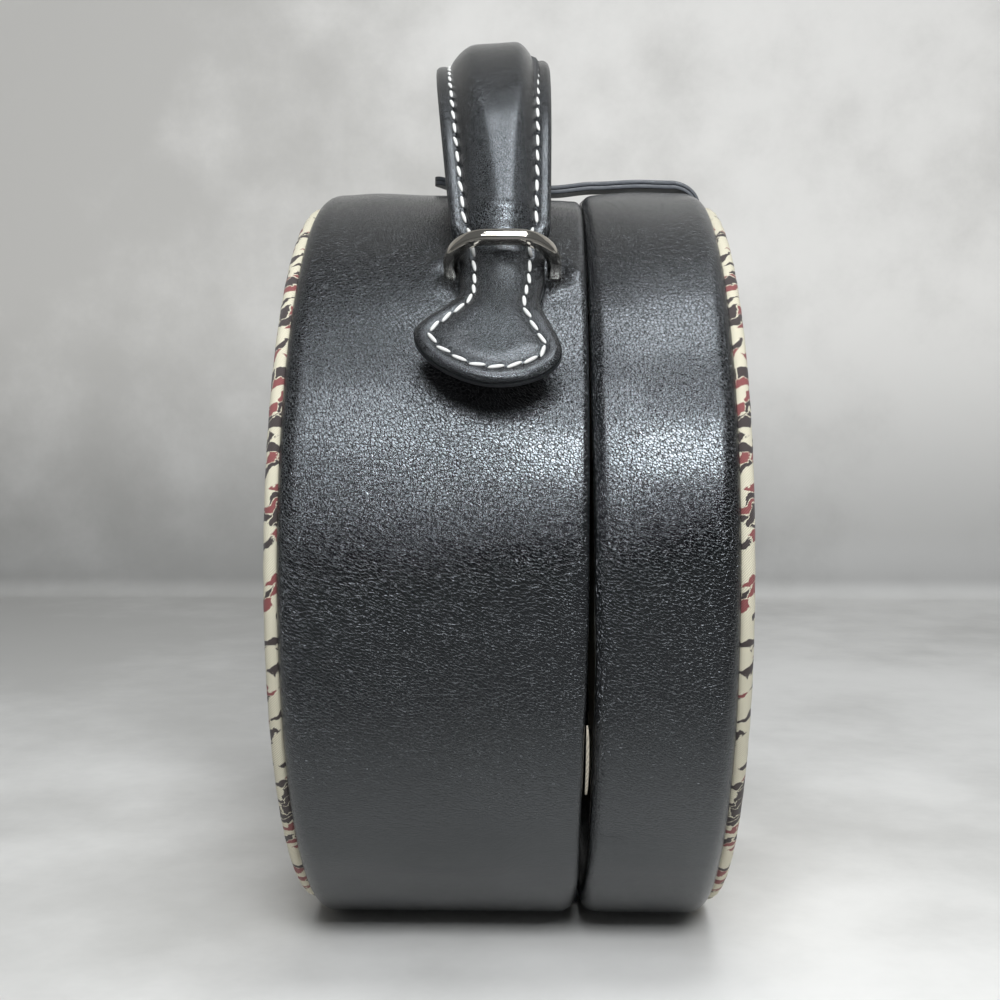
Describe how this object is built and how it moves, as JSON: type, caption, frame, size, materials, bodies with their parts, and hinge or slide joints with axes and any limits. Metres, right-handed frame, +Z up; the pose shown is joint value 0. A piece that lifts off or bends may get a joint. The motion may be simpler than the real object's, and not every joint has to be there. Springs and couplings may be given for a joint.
{
  "type": "vanity case",
  "caption": "Round vanity case standing on its flattened wall, with piped padded faces, a mirror in the hinged lid, a padded handle held in wire loops and a magnetic closure strap.",
  "frame": {"origin": "on the flat base, under the drum's axis, midway between the two leather edges", "axes": "+X along the drum's axis from the deep body to the lid, +Z up through the handle, +Y away from the viewer of the picture"},
  "size_m": [0.124, 0.23, 0.273],
  "materials": {
    "leather": "satin pebble grain",
    "strap_leather": "satin, painted edges",
    "printed_cloth": "matte twill",
    "lining": "matte",
    "fibreboard": "raw",
    "filler": "raw",
    "plating": "polished nickel",
    "plate_steel": "raw",
    "mirror": "polished"
  },
  "bodies": {
    "case": {"body_wrap": "leather", "body_frame": "fibreboard", "body_lining": "lining", "back_board": "fibreboard", "back_panel": "printed_cloth", "back_piping": "printed_cloth", "back_lining": "lining", "hinge_leaf_body": "leather", "loop_near": "plating", "loop_far": "plating", "loop_plate_near": "plate_steel", "loop_plate_far": "plate_steel", "magnet_base": "plating", "magnet_washer": "plate_steel"},
    "lid": {"lid_wrap": "leather", "lid_frame": "fibreboard", "lid_lining": "lining", "front_board": "fibreboard", "front_panel": "printed_cloth", "front_piping": "printed_cloth", "front_lining": "lining", "mirror_glass": "mirror", "mirror_frame": "leather", "hinge_leaf_lid": "leather", "closure_anchor": "strap_leather"},
    "closure": {"closure_tab": "strap_leather", "magnet_cap": "plating"},
    "handle": {"handle_cover": "leather", "handle_core": "filler", "handle_backing": "strap_leather"}
  },
  "joints": [
    {"name": "lid_hinge", "type": "hinge", "parent": "case", "child": "lid", "pos_m": [0.02, 0, 0.002], "axis": [0, 1, 0], "range_deg": [0, 130]},
    {"name": "closure_lift", "type": "hinge", "parent": "lid", "child": "closure", "pos_m": [0.05075, 0, 0.23108], "axis": [0, 1, 0], "range_deg": [0, 22]},
    {"name": "handle_lift", "type": "slide", "parent": "case", "child": "handle", "axis": [0, 0, 1], "range_m": [0, 0.0025]}
  ]
}
